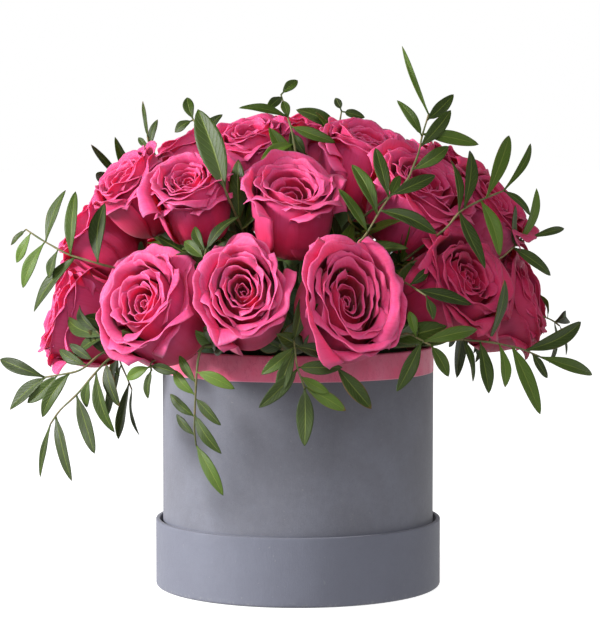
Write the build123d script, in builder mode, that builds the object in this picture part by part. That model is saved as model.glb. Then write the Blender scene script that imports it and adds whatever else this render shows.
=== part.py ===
from build123d import *
import math
import os

# Flower box: a papered hat box that stands in its own upturned lid and holds roses and foliage in foam.
# Millimetres, +Z up, origin on the table under the middle of the lid, front towards -Y.

# box
drum_radius = 90.0
rim_height = 160.0
grey_paper_top = 143.1
lid_depth = 45.0
lid_gap = 2.0
board = 2.0
paper = 0.35
glue_gap = 0.05
foot_turn_in = 14.0
mouth_turn_in = 18.0
corner_round = 1.6
lining_depth = 60.0
paper_butt_gap = 0.25

# insert
insert_gap = 0.4
tub_wall = 0.8
tub_depth = 140.0
foam_gap = 0.3
foam_shoulder_drop = 12.0
foam_crown_radius = 72.0
foam_crown_rise = 40.0
foam_bevel = 9.0
hole_gap = 0.05

# flowers
bloom_radius = 30.0
layout_bloom_radius = 30.0
rose_stem_radius = 2.8
side_stem_foot = 40.0
top_stem_foot = 22.0
top_rose_from = 55.0
sprig_stem_radius = 1.1
stem_bend_radius = 12.0
leaf_thickness = 0.5
leaf_clear = 0.1

# heights that follow from the sizes above
lid_floor_top = 2 * paper + 2 * glue_gap + board
drum_foot = lid_floor_top
drum_board_foot = drum_foot + 2 * paper + 2 * glue_gap
drum_floor_top = drum_board_foot + board
focus = Vector(0, 0, rim_height - 2.0)
spread = bloom_radius / layout_bloom_radius

# radii that follow from the sizes above
wall_outer = drum_radius - paper - glue_gap
wall_inner = wall_outer - board
lining_inner = wall_inner - glue_gap - paper
lid_mouth = drum_radius + lid_gap
hoop_inner = lid_mouth + paper + glue_gap
hoop_outer = hoop_inner + board
lid_radius = hoop_outer + glue_gap + paper
tub_outer = lining_inner - insert_gap
tub_inner = tub_outer - tub_wall
foam_radius = tub_inner - foam_gap

# bloom outline as shares of the bloom's radius: (along the axis, out from the axis)
bloom_outline = [(-1.05, 0.36), (-0.7, 0.72), (-0.25, 0.92), (0.25, 0.92), (0.66, 0.76), (0.92, 0.40)]
hip_start = -1.25
bloom_top = 1.0

# roses: azimuth from the front towards +X, elevation, distance of the bloom's middle from the focus, size
roses = [
    (-85, 9, 156, 0.97), (-42, 16, 144, 1.10), (-13, 18, 145, 1.00), (14, 15, 146, 1.06),
    (43, 18, 149, 1.00), (82, 13, 147, 0.97), (-142, 14, 148, 1.00), (178, 14, 148, 1.03),
    (140, 14, 148, 1.00), (108, 13, 148, 0.97), (-112, 13, 148, 0.97), (-90, 30, 153, 0.90),
    (-69, 43, 149, 0.90), (-39, 44, 143, 0.93), (-3, 44, 140, 1.03), (41, 42, 146, 1.00),
    (70, 36, 154, 0.97), (95, 47, 147, 0.90), (-150, 42, 146, 1.00), (160, 42, 146, 1.00),
    (125, 42, 148, 0.93), (47, 66, 139, 0.97), (-37, 70, 140, 0.90), (-116, 58, 148, 0.90),
    (172, 63, 151, 0.87), (-142, 78, 140, 0.87), (118, 66, 134, 0.84),
]

# sprigs: facing (azimuth, elevation), the stem's points from the focus, then the leaves as
# (distance back from the stem's end, clock angle seen from outside, lift outwards, length, width)
sprigs = {
    "tall_left": ((-20, 25), [(-7, -18, 17), (-29, -68, 67), (-45, -112, 106), (-53, -92, 132), (-67, -62, 151)],
                  [(69, -25, 15, 55, 17), (1, -25, 0, 17, 10), (1, -125, 0, 13, 9), (23, 30, 0, 17, 9)]),
    "crown": ((0, 25), [(-1, -14, 22), (-2, -49, 79), (-1, -80, 127), (-4, -66, 144), (-11, -40, 167)],
              [(0, 45, 0, 14, 9), (2, -150, 40, 23, 9), (22, -90, 22, 32, 9), (25, -15, 0, 13, 8),
               (32, 110, 0, 29, 11), (38, 150, 0, 15, 9), (47, -115, 0, 22, 10)]),
    "tall_right": ((20, 15), [(7, -19, 16), (38, -103, 88), (67, -115, 111), (75, -107, 130), (77, -100, 140),
                              (82, -87, 154)],
                   [(1, -15, 0, 46, 7), (6, 50, 0, 26, 11), (28, 45, 0, 33, 12), (20, -30, 0, 26, 9),
                    (18, 100, 0, 37, 12), (45, 60, 15, 27, 12)]),
    "face_right": ((15, 30), [(10, -38, 23), (28, -105, 64), (41, -150, 80), (50, -150, 96), (56, -146, 104)],
                   [(15, -15, 0, 37, 12), (2, -5, 0, 34, 12), (0, 65, 0, 33, 12), (12, 115, 0, 36, 13),
                    (1, 30, 0, 16, 8), (27, -25, 0, 32, 10)]),
    "upper_right": ((40, 20), [(24, -32, 22), (65, -88, 61), (92, -122, 84), (99, -122, 94), (114, -112, 101),
                               (128, -98, 106)],
                    [(36, 30, 0, 45, 13), (17, 40, 0, 53, 13), (0, 50, 0, 50, 7), (0, 130, 0, 24, 9),
                     (40, 175, 15, 38, 15), (22, 170, 0, 35, 14), (40, 10, 0, 34, 9)]),
    "wide_right": ((40, 10), [(29, -36, 4), (59, -74, 8), (96, -118, 15), (119, -118, 13), (139, -106, 8),
                              (152, -98, 2)],
                   [(41, -10, 40, 43, 12), (13, 75, 0, 61, 14), (24, 155, 0, 47, 15), (47, 170, 0, 32, 14),
                    (34, 175, 0, 26, 11), (57, 165, 0, 26, 9), (0, 105, 0, 51, 12), (8, 145, 0, 19, 9)]),
    "low_right": ((22, 10), [(21, -41, 5), (53, -105, 13), (67, -148, 21), (74, -156, 17), (80, -156, 14)],
                  [(6, -150, 0, 33, 13), (5, 80, 0, 38, 12), (0, 150, 0, 21, 11), (11, -10, 0, 15, 9)]),
    "centre_low": ((0, 5), [(-1, -46, 6), (-3, -90, 13), (-3, -146, 19), (-2, -156, 14), (-1, -158, 2),
                            (4, -154, -12)],
                   [(32, 10, 0, 27, 11), (27, 105, 0, 21, 12), (25, -160, 0, 29, 12), (27, -130, 0, 25, 11),
                    (13, -135, 0, 32, 12), (14, 90, 0, 26, 12), (0, 180, 0, 34, 15), (1, 120, 0, 28, 12),
                    (8, 120, 0, 19, 9)]),
    "hanging": ((-28, 5), [(-19, -41, 4), (-38, -81, 9), (-60, -132, 12), (-62, -136, -4), (-63, -132, -22),
                           (-64, -124, -41), (-63, -120, -51)],
                [(35, -50, 0, 22, 12), (20, -55, 0, 22, 12), (7, -50, 0, 18, 9), (50, 110, 0, 26, 13),
                 (33, 130, 0, 23, 12), (22, 140, 0, 29, 13), (0, 145, 0, 35, 14), (43, -40, 0, 20, 10)]),
    "far_left": ((-30, 10), [(-37, -27, 3), (-77, -56, 7), (-123, -92, 5), (-136, -96, -7), (-160, -84, -12)],
                 [(0, -75, 0, 37, 12), (1, -130, 0, 33, 14), (10, -130, 0, 28, 12), (19, -145, 0, 34, 13),
                  (32, -70, 0, 25, 10), (37, -65, 0, 21, 9)]),
    "low_left": ((-35, 5), [(-35, -30, 3), (-73, -64, 6), (-117, -104, 3), (-127, -106, -8), (-138, -102, -21),
                            (-150, -96, -32), (-156, -92, -41)],
                 [(0, -165, 0, 34, 7), (7, 160, 0, 41, 15), (28, 155, 0, 38, 14), (42, -170, 0, 17, 9),
                  (48, 160, 0, 38, 13), (57, 155, 0, 29, 13)]),
    "shoulder_left": ((-40, 15), [(-35, -22, 19), (-101, -64, 53), (-121, -92, 59), (-145, -88, 66),
                                  (-163, -76, 75), (-173, -68, 81)],
                      [(19, 10, 0, 34, 12), (40, -10, 0, 41, 13), (58, -10, 0, 39, 17), (5, -150, 0, 21, 10),
                       (18, -155, 0, 32, 13), (43, -140, 0, 46, 14), (0, -130, 0, 15, 7), (30, -165, 0, 18, 10)]),
    "left_top": ((-35, 10), [(-16, 1, 21), (-59, 3, 77), (-97, 4, 123), (-100, 6, 140)],
                 [(0, -20, 0, 25, 7), (7, 10, 0, 18, 8), (8, -55, 0, 12, 6)]),
    "crown_right": ((10, 15), [(5, 3, 25), (16, 11, 86), (26, 20, 138), (29, 14, 157)],
                    [(12, -65, 0, 30, 13), (0, 105, 0, 15, 9), (0, -20, 0, 9, 7)]),
    "dark_right": ((35, 10), [(38, -18, 19), (80, -38, 40), (130, -60, 62), (141, -56, 72), (149, -50, 75)],
                   [(10, 0, 40, 38, 11), (0, 80, 0, 32, 7), (15, 120, 0, 36, 12), (13, -35, 40, 35, 10)]),
    "mid_right": ((25, 15), [(22, -37, 15), (59, -102, 42), (65, -132, 51), (72, -150, 47), (77, -156, 44)],
                  [(9, 105, 0, 37, 12), (0, 165, 0, 14, 9), (20, 55, 0, 18, 8)]),
    "brown_tip": ((8, 5), [(-5, -46, 3), (-11, -108, 8), (19, -146, 9), (23, -152, 1)],
                  [(0, 140, 0, 33, 14), (3, 60, 15, 12, 9)]),
    "over_left": ((-55, 15), [(-37, -26, 7), (-76, -53, 15), (-122, -88, 13), (-127, -90, 18)],
                  [(6, -80, 0, 55, 13), (1, -65, 0, 36, 11), (7, -110, 0, 29, 10)]),
    "between_left": ((-25, 25), [(-18, -37, 20), (-49, -99, 54), (-58, -128, 63), (-56, -132, 71)],
                     [(1, 35, 0, 28, 11), (7, -55, 0, 20, 11), (2, -35, 0, 20, 9)]),
    "low_mid_left": ((-30, 5), [(-28, -36, 4), (-58, -75, 8), (-92, -122, 1), (-90, -126, -4)],
                     [(1, -175, 0, 17, 8), (3, -115, 0, 19, 10), (4, 100, 0, 19, 9)]),
}

# nodes of foliage: (sprig, turn about the box's axis, mirrored first); the short sprigs share the last node
sprig_nodes = [[(kind, 0, False)] for kind in list(sprigs)[:12]] + [
    [("hanging", 224, False)], [("wide_right", 85, False)], [("low_left", 281, False)],
    [("centre_low", 160, False)], [("upper_right", 143, False)], [("upper_right", 176, False)],
    [("upper_right", 88, False)], [("face_right", 212, False)],
    [(kind, 0, False) for kind in list(sprigs)[12:]] + [("low_right", 121, True), ("mid_right", 234, True)],
]


def direction(azimuth, elevation):
    """Unit vector from the focus; azimuth 0 is the front and grows towards +X."""
    a = math.radians(azimuth)
    e = math.radians(elevation)
    return Vector(math.sin(a) * math.cos(e), -math.cos(a) * math.cos(e), math.sin(e))


def placed(point, turn, mirrored):
    """A sprig's point, mirrored if asked and then turned about the box's axis."""
    x = -point[0] if mirrored else point[0]
    return Vector(x, point[1], point[2]).rotate(Axis.Z, turn)


def save(part, name):
    """Labels a finished piece and writes its STEP file."""
    part.label = name
    export_step(part, f"parts/{name}.step")


def stem_foot(elevation):
    """How far from the focus a rose's stem ends inside the foam."""
    return (top_stem_foot if elevation >= top_rose_from else side_stem_foot) * spread


def sprig_frame(kind, turn, mirrored):
    """Outward direction, up and right of a sprig, as seen from outside, and its stem's points."""
    (azimuth, elevation), points, _ = sprigs[kind]
    out = placed(tuple(direction(azimuth, elevation)), turn, mirrored)
    up = (Vector(0, 0, 1) - out * out.Z).normalized()
    right = up.cross(out) * (-1 if mirrored else 1)
    return out, up, right, [focus + placed(p, turn, mirrored) * spread for p in points]


def bend_radii(points):
    """A radius for each corner of a stem: the usual one, or less where its runs are short."""
    radii = []
    for before, corner, after in zip(points, points[1:], points[2:]):
        runs = (corner - before, after - corner)
        turn = math.radians(runs[0].get_angle(runs[1]))
        most = 0.45 * min(run.length for run in runs) / math.tan(turn / 2)
        radii.append(min(stem_bend_radius, most))
    return radii


def make_leaf(base, along, out, length, width):
    """One thin leaf blade: two arcs that meet at its base and tip."""
    side = out.cross(along)
    with BuildPart() as leaf:
        with BuildSketch(Plane(origin=base, x_dir=along, z_dir=along.cross(side))):
            with BuildLine():
                ThreePointArc((0, 0), (length / 2, width / 2), (length, 0))
                ThreePointArc((length, 0), (length / 2, -width / 2), (0, 0))
            make_face()
        extrude(amount=leaf_thickness / 2, both=True)
    return leaf.part.solids()


def make_sprig(kind, turn, mirrored):
    """The solids of one sprig: a bent stem and its leaf blades."""
    out, up, right, points = sprig_frame(kind, turn, mirrored)
    with BuildLine() as route:
        FilletPolyline(*points, radius=bend_radii(points))
    path = route.wires()[0]
    with BuildPart() as stem:
        with BuildSketch(Plane(origin=points[0], z_dir=points[1] - points[0])):
            Circle(sprig_stem_radius)
        sweep(path=path)
    solids = list(stem.part.solids())
    for back, clock, lift, length, width in sprigs[kind][2]:
        node = path.position_at(path.length - back, position_mode=PositionMode.LENGTH)
        angle = math.radians(clock)
        flat = up * math.cos(angle) + right * math.sin(angle)
        along = flat * math.cos(math.radians(lift)) + out * math.sin(math.radians(lift))
        base = node + along * (sprig_stem_radius + leaf_clear)
        solids += make_leaf(base, along, out, length, width)
    return solids


os.makedirs("parts", exist_ok=True)

# lid: face paper, board, hoop and the hoop's cover paper
with BuildPart() as lid_face_paper:
    with BuildSketch():
        Circle(lid_radius - corner_round - foot_turn_in / 2)
    extrude(amount=paper)
save(lid_face_paper.part, "lid_face_paper")

with BuildPart() as lid_board:
    with BuildSketch(Plane.XY.offset(2 * paper + 2 * glue_gap)):
        Circle(hoop_inner - glue_gap)
    extrude(amount=board)
save(lid_board.part, "lid_board")

with BuildPart() as lid_rim:
    with BuildSketch(Plane.XY.offset(2 * paper + 2 * glue_gap)):
        Circle(hoop_outer)
        Circle(hoop_inner, mode=Mode.SUBTRACT)
    extrude(amount=lid_depth - 3 * (paper + glue_gap))
    fillet(lid_rim.edges().group_by(Axis.Z)[0].sort_by(SortBy.RADIUS)[-1], corner_round - paper - glue_gap)
save(lid_rim.part, "lid_rim")

lid_turn_z = paper + glue_gap
with BuildPart() as lid_rim_paper:
    with BuildSketch(Plane.XZ):
        with BuildLine():
            Polyline(
                (lid_radius - foot_turn_in, lid_turn_z + paper),
                (lid_radius - foot_turn_in, lid_turn_z),
                (lid_radius - corner_round, lid_turn_z),
            )
            TangentArc(
                (lid_radius - corner_round, lid_turn_z),
                (lid_radius, lid_turn_z + corner_round),
                tangent=(1, 0),
            )
            Polyline(
                (lid_radius, lid_turn_z + corner_round),
                (lid_radius, lid_depth),
                (lid_mouth, lid_depth),
                (lid_mouth, lid_depth - mouth_turn_in),
                (lid_mouth + paper, lid_depth - mouth_turn_in),
                (lid_mouth + paper, lid_depth - paper),
                (lid_radius - paper, lid_depth - paper),
                (lid_radius - paper, lid_turn_z + corner_round),
            )
            TangentArc(
                (lid_radius - paper, lid_turn_z + corner_round),
                (lid_radius - corner_round, lid_turn_z + paper),
                tangent=(0, -1),
            )
            Line(
                (lid_radius - corner_round, lid_turn_z + paper),
                (lid_radius - foot_turn_in, lid_turn_z + paper),
            )
        make_face()
    revolve(axis=Axis.Z)
save(lid_rim_paper.part, "lid_rim_paper")

# drum: foot paper, board, wall, cover paper and lining
with BuildPart() as drum_foot_paper:
    with BuildSketch(Plane.XY.offset(drum_foot)):
        Circle(drum_radius - corner_round - foot_turn_in / 2)
    extrude(amount=paper)
save(drum_foot_paper.part, "drum_foot_paper")

with BuildPart() as drum_base_board:
    with BuildSketch(Plane.XY.offset(drum_board_foot)):
        Circle(wall_inner - glue_gap)
    extrude(amount=board)
save(drum_base_board.part, "drum_base_board")

with BuildPart() as drum_wall:
    with BuildSketch(Plane.XY.offset(drum_board_foot)):
        Circle(wall_outer)
        Circle(wall_inner, mode=Mode.SUBTRACT)
    extrude(amount=rim_height - paper - glue_gap - drum_board_foot)
save(drum_wall.part, "drum_wall")

drum_turn_z = drum_foot + paper + glue_gap
with BuildPart() as drum_paper:
    with BuildSketch(Plane.XZ):
        with BuildLine():
            Polyline(
                (drum_radius - foot_turn_in, drum_turn_z),
                (drum_radius, drum_turn_z),
                (drum_radius, grey_paper_top),
                (drum_radius - paper, grey_paper_top),
                (drum_radius - paper, drum_turn_z + paper),
                (drum_radius - foot_turn_in, drum_turn_z + paper),
                close=True,
            )
        make_face()
    revolve(axis=Axis.Z)
save(drum_paper.part, "drum_paper")

with BuildPart() as lining_paper:
    with BuildSketch(Plane.XZ):
        with BuildLine():
            Polyline(
                (drum_radius, grey_paper_top + paper_butt_gap),
                (drum_radius, rim_height),
                (lining_inner, rim_height),
                (lining_inner, rim_height - lining_depth),
                (lining_inner + paper, rim_height - lining_depth),
                (lining_inner + paper, rim_height - paper),
                (drum_radius - paper, rim_height - paper),
                (drum_radius - paper, grey_paper_top + paper_butt_gap),
                close=True,
            )
        make_face()
    revolve(axis=Axis.Z)
save(lining_paper.part, "lining_paper")

# insert: tub and foam
with BuildPart() as liner_tub:
    with BuildSketch(Plane.XY.offset(drum_floor_top)):
        Circle(tub_outer)
    extrude(amount=tub_depth)
    offset(amount=-tub_wall, openings=liner_tub.faces().sort_by(Axis.Z)[-1])
save(liner_tub.part, "liner_tub")

foam_foot = drum_floor_top + tub_wall
foam_shoulder = rim_height - foam_shoulder_drop
foam_top = rim_height + foam_crown_rise
with BuildPart() as foam_block:
    with BuildSketch(Plane.XZ):
        with BuildLine():
            Polyline(
                (0, foam_foot),
                (foam_radius, foam_foot),
                (foam_radius, foam_shoulder),
                (foam_crown_radius, foam_shoulder + foam_bevel),
                (foam_crown_radius, foam_top - foam_bevel),
                (foam_crown_radius - foam_bevel, foam_top),
                (0, foam_top),
                close=True,
            )
        make_face()
    revolve(axis=Axis.Z)
    for azimuth, elevation, reach, size in roses:
        way = direction(azimuth, elevation)
        with Locations(Plane(origin=focus + way * stem_foot(elevation), z_dir=way)):
            Cylinder(
                rose_stem_radius + hole_gap,
                reach * spread,
                align=(Align.CENTER, Align.CENTER, Align.MIN),
                mode=Mode.SUBTRACT,
            )
    for members in sprig_nodes:
        for member in members:
            points = sprig_frame(*member)[3]
            with Locations(Plane(origin=points[0], z_dir=points[1] - points[0])):
                Cylinder(
                    sprig_stem_radius + hole_gap,
                    (points[1] - points[0]).length,
                    align=(Align.CENTER, Align.CENTER, Align.MIN),
                    mode=Mode.SUBTRACT,
                )
save(foam_block.part, "foam_block")

# roses: stem, hip and closed bloom turned about one axis
for number, (azimuth, elevation, reach, size) in enumerate(roses, start=1):
    way = direction(azimuth, elevation)
    side = Vector(0, 0, 1).cross(way).normalized()
    middle = reach * spread
    radius = bloom_radius * size
    foot = stem_foot(elevation)
    with BuildPart() as rose:
        with BuildSketch(Plane(origin=focus, x_dir=way, z_dir=side)):
            with BuildLine():
                Polyline(
                    (middle + bloom_top * radius, 0),
                    (foot, 0),
                    (foot, rose_stem_radius),
                    (middle + hip_start * radius, rose_stem_radius),
                )
                Spline(
                    (middle + hip_start * radius, rose_stem_radius),
                    *[(middle + along * radius, out * radius) for along, out in bloom_outline],
                    (middle + bloom_top * radius, 0),
                )
            make_face()
        revolve(axis=Axis(focus, way))
    save(rose.part, f"rose_{number:02d}")

# foliage
for number, members in enumerate(sprig_nodes, start=1):
    solids = []
    for member in members:
        solids += make_sprig(*member)
    save(Compound(solids), f"sprig_{number:02d}")
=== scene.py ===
import math

import bmesh
import bpy
import numpy as np
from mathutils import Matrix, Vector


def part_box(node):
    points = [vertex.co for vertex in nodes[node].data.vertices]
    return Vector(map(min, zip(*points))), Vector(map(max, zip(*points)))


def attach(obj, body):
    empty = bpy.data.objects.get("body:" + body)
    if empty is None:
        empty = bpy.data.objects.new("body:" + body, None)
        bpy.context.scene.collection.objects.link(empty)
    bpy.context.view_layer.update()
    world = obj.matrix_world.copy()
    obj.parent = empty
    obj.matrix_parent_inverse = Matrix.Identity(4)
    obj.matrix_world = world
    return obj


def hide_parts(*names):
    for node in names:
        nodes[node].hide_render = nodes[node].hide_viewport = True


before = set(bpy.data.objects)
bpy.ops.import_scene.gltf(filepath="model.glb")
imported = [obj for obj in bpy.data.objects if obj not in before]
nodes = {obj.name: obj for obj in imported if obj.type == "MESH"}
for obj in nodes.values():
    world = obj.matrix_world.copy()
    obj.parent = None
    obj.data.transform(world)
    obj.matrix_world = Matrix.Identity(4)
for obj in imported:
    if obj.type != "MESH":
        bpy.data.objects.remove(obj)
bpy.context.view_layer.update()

mm = 0.001


def note(text):
    print("flower box:", text)


def linear(red, green, blue):
    # a colour as seen on a screen, 0 to 255, in the numbers that shaders use
    def one(value):
        value = value / 255
        return value / 12.92 if value <= 0.04045 else ((value + 0.055) / 1.055) ** 2.4
    return (one(red), one(green), one(blue), 1.0)


def unit(vector):
    vector = np.asarray(vector)
    return vector / max(float(np.linalg.norm(vector)), 1e-9)


def smooth(value, low, high):
    step = np.clip((value - low) / (high - low), 0.0, 1.0)
    return step * step * (3 - 2 * step)


# camera, light and floor

cameraSettings = {
    "place": (0.0002, -1.6336, 0.2894),
    "tiltDown": 3.872,
    "turn": -0.039,
    "lens": 140.0,
}

lightSettings = {
    "keyTurn": -75,  # degrees from straight in front, towards the left
    "keyRise": 17,
    "keyAway": 2.2,
    "keySize": 0.55,
    "keyPower": 96,
    "skyLight": 0.34,
    "fillPlace": (0.1, -2.4, 1.3),
    "fillSize": 1.6,
    "fillPower": 40,
    "backdrop": 1.0,
    "aim": 0.17,  # height that the key light looks at
    "fillAim": 0.15,
}

floorSettings = {"size": 60.0, "tone": 0.55, "mottle": 0.985, "glow": 0.84}


def makeCamera():
    data = bpy.data.cameras.new("camera")
    data.lens = cameraSettings["lens"]
    data.sensor_width = 36
    camera = bpy.data.objects.new("camera", data)
    camera.location = cameraSettings["place"]
    camera.rotation_euler = (
        math.radians(90 - cameraSettings["tiltDown"]),
        0,
        math.radians(cameraSettings["turn"]),
    )
    bpy.context.scene.collection.objects.link(camera)
    bpy.context.scene.camera = camera


def makeFillLight():
    data = bpy.data.lights.new("fillLight", "AREA")
    data.shape = "DISK"
    data.size = lightSettings["fillSize"]
    data.energy = lightSettings["fillPower"]
    lamp = bpy.data.objects.new("fillLight", data)
    x, y, z = lamp.location = lightSettings["fillPlace"]
    lamp.rotation_euler = (math.atan2(math.hypot(x, y), z - lightSettings["fillAim"]), 0, math.atan2(x, -y))
    bpy.context.scene.collection.objects.link(lamp)


def makeKeyLight():
    turn = math.radians(lightSettings["keyTurn"])
    rise = math.radians(lightSettings["keyRise"])
    away = lightSettings["keyAway"]
    data = bpy.data.lights.new("keyLight", "AREA")
    data.shape = "DISK"
    data.size = lightSettings["keySize"]
    data.energy = lightSettings["keyPower"]
    lamp = bpy.data.objects.new("keyLight", data)
    lamp.location = (
        away * math.sin(turn) * math.cos(rise),
        -away * math.cos(turn) * math.cos(rise),
        lightSettings["aim"] + away * math.sin(rise),
    )
    lamp.rotation_euler = (math.radians(90) - rise, 0, turn)
    bpy.context.scene.collection.objects.link(lamp)


def makeSky():
    world = bpy.data.worlds.new("sky")
    world.use_nodes = True
    tree = world.node_tree
    tree.nodes.clear()
    seen = tree.nodes.new("ShaderNodeLightPath")
    blend = tree.nodes.new("ShaderNodeMixShader")
    end = tree.nodes.new("ShaderNodeOutputWorld")
    tree.links.new(seen.outputs["Is Camera Ray"], blend.inputs[0])
    for place, strength in ((1, "skyLight"), (2, "backdrop")):
        light = tree.nodes.new("ShaderNodeBackground")
        light.inputs["Color"].default_value = (1, 1, 1, 1)
        light.inputs["Strength"].default_value = lightSettings[strength]
        tree.links.new(light.outputs[0], blend.inputs[place])
    tree.links.new(blend.outputs[0], end.inputs[0])
    bpy.context.scene.world = world


# shaders

class Sum:
    # a socket that can stand in an expression
    def __init__(self, paint, socket):
        self.paint = paint
        self.socket = socket

    def work(self, operation, first, second):
        return self.paint.add("ShaderNodeMath", {"operation": operation}, {0: first, 1: second})

    def __add__(self, other):
        return self.work("ADD", self, other)

    def __radd__(self, other):
        return self.work("ADD", other, self)

    def __sub__(self, other):
        return self.work("SUBTRACT", self, other)

    def __rsub__(self, other):
        return self.work("SUBTRACT", other, self)

    def __mul__(self, other):
        return self.work("MULTIPLY", self, other)

    def __rmul__(self, other):
        return self.work("MULTIPLY", other, self)

    def above(self, low, high):  # 0 below low, 1 above high, smooth between
        return self.paint.add(
            "ShaderNodeMapRange",
            {"interpolation_type": "SMOOTHSTEP"},
            {"Value": self, "From Min": low, "From Max": high},
        )

    def wave(self):
        return self.work("SINE", self, 0.0)

    def size(self):
        return self.work("ABSOLUTE", self, 0.0)


class Paint:
    # one material and the nodes that make it
    def __init__(self, name):
        self.material = bpy.data.materials.new(name)
        self.material.use_nodes = True
        self.tree = self.material.node_tree
        self.tree.nodes.clear()
        self.place = self.add("ShaderNodeTexCoord", {}, {}, "Object")

    def add(self, kind, settings, inputs, output=0):
        node = self.tree.nodes.new(kind)
        for key, value in settings.items():
            setattr(node, key, value)
        for key, value in inputs.items():
            socket = node.inputs[key]
            if isinstance(value, Sum):
                self.tree.links.new(value.socket, socket)
            elif value is not None:
                socket.default_value = value
        return Sum(self, node.outputs[output])

    def noise(self, scale, detail=3.0, rough=0.5, at=None):
        return self.add(
            "ShaderNodeTexNoise", {},
            {"Vector": at or self.place, "Scale": scale, "Detail": detail, "Roughness": rough},
        )

    def stretched(self, x, y, z):  # the place, scaled on each axis, for grain and streaks
        return self.add("ShaderNodeVectorMath", {"operation": "MULTIPLY"}, {0: self.place, 1: (x, y, z)})

    def mix(self, mask, first, second):
        return self.add("ShaderNodeMix", {"data_type": "RGBA"}, {0: mask, 6: first, 7: second}, 2)

    def split(self, vector):
        parts = self.add("ShaderNodeSeparateXYZ", {}, {0: vector})
        outputs = parts.socket.node.outputs
        return [Sum(self, outputs[axis]) for axis in range(3)]

    def map(self, name):
        return self.split(self.add("ShaderNodeUVMap", {"uv_map": name}, {}))

    def finish(self, colour, rough, height=None, depth=0.0, strength=1.0, fixed=None):
        # a shader from what varies, with the fixed values set on its own sockets
        shader = self.add("ShaderNodeBsdfPrincipled", {}, {"Base Color": colour, "Roughness": rough})
        node = shader.socket.node
        for key, value in (fixed or {}).items():
            node.inputs[key].default_value = value
        if height is not None:
            bump = self.add("ShaderNodeBump", {}, {"Strength": strength, "Distance": depth, "Height": height})
            self.tree.links.new(bump.socket, node.inputs["Normal"])
        end = self.tree.nodes.new("ShaderNodeOutputMaterial")
        self.tree.links.new(shader.socket, end.inputs["Surface"])
        return self.material


greyPaperLook = {
    "base": linear(96, 97, 107),
    "light": linear(104, 106, 118),
    "dark": linear(82, 83, 91),
    "scuff": linear(126, 126, 130),
    "lid": linear(94, 97, 112),
    "lidEdge": (0.0446, 0.0460),  # where the lid's paper ends and the drum's shows, in metres
    "foot": (0.0010, 0.0052),  # rubbed by the table up to here
}


def makeGreyPaper():
    look = greyPaperLook
    paint = Paint("greyPaper")
    cloud = paint.noise(26, 4, 0.6)
    fibre = paint.noise(900, 3, 0.7, paint.stretched(1, 1, 0.22))
    grain = paint.noise(2600, 2, 0.6)
    colour = paint.mix(cloud.above(0.35, 0.75), look["base"], look["light"])
    colour = paint.mix(fibre.above(0.50, 0.75) * 0.50, colour, look["light"])
    colour = paint.mix((1 - grain.above(0.30, 0.52)) * 0.60, colour, look["dark"])
    felt = paint.noise(190, 5, 0.72)
    colour = paint.mix((1 - felt.above(0.36, 0.52)) * 0.14, colour, look["dark"])
    colour = paint.mix(felt.above(0.52, 0.70) * 0.10, colour, look["scuff"])
    height = paint.split(paint.place)[2]
    colour = paint.mix((1 - height.above(*look["lidEdge"])) * 0.6, colour, look["lid"])
    foot = 1 - height.above(*look["foot"])
    rubbed = foot * paint.noise(420, 4, 0.7).above(0.50, 0.66)
    specks = paint.noise(520, 1, 0.4).above(0.74, 0.79)
    colour = paint.mix(rubbed * 0.65, colour, look["scuff"])
    colour = paint.mix(specks * 0.35, colour, look["scuff"])
    rough = 0.62 + fibre * 0.16 - cloud * 0.08
    relief = fibre * 0.6 + grain * 0.45 + felt * 1.2 + paint.noise(60, 2, 0.5) * 2.2
    return paint.finish(colour, rough, relief, depth=0.00024, strength=0.6, fixed={
        "Specular IOR Level": 0.42,
        "Sheen Weight": 0.12,
    })


pinkPaperLook = {
    "base": linear(248, 98, 138),
    "light": linear(250, 130, 166),
    # dark: painted shade along the paper's creases
    "dark": linear(214, 70, 108),
    "cut": linear(250, 196, 214),
    "edge": (0.1431, 0.1437),  # the band's cut edge, in metres above the table
}


def makePinkPaper():
    look = pinkPaperLook
    paint = Paint("pinkPaper")
    cloud = paint.noise(45, 4, 0.6)
    fibre = paint.noise(1100, 3, 0.7, paint.stretched(1, 1, 0.3))
    crease = paint.noise(120, 5, 0.65, paint.stretched(1, 1, 0.45))
    line = (crease - 0.5).size()
    fold = 1 - line.above(0.0, 0.030)
    colour = paint.mix(cloud.above(0.3, 0.75), look["base"], look["light"])
    colour = paint.mix(fibre.above(0.5, 0.8) * 0.15, colour, look["light"])
    # painted shade: the paper is darkened along its crease lines, where shade falls in the folds
    colour = paint.mix(fold * 0.20, colour, look["dark"])
    height = paint.split(paint.place)[2]
    cut = 1 - height.above(*look["edge"])
    colour = paint.mix(cut * 0.55, colour, look["cut"])
    rough = 0.36 + fibre * 0.14 + fold * 0.12
    relief = crease * 2.6 + fibre * 0.4 - fold * 0.5
    return paint.finish(colour, rough, relief, depth=0.00030, strength=0.7, fixed={
        "Specular IOR Level": 0.28,
        "Sheen Weight": 0.05,
    })


chipboardLook = {"base": linear(158, 142, 120), "fleck": linear(112, 98, 80), "pale": linear(186, 172, 150)}


def makeChipboard():
    look = chipboardLook
    paint = Paint("chipboard")
    cloud = paint.noise(60, 4, 0.6)
    fleck = paint.noise(1500, 2, 0.6, paint.stretched(1, 1, 0.4))
    ply = paint.noise(240, 3, 0.6, paint.stretched(0.05, 0.05, 8))
    colour = paint.mix(cloud.above(0.3, 0.7), look["base"], look["pale"])
    colour = paint.mix(fleck.above(0.6, 0.72) * 0.7, colour, look["fleck"])
    colour = paint.mix(ply.above(0.5, 0.7) * 0.25, colour, look["fleck"])
    relief = fleck * 0.6 + cloud
    return paint.finish(
        colour, 0.82 + cloud * 0.12, relief, depth=0.00020, strength=0.6, fixed={"Specular IOR Level": 0.3}
    )


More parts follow.
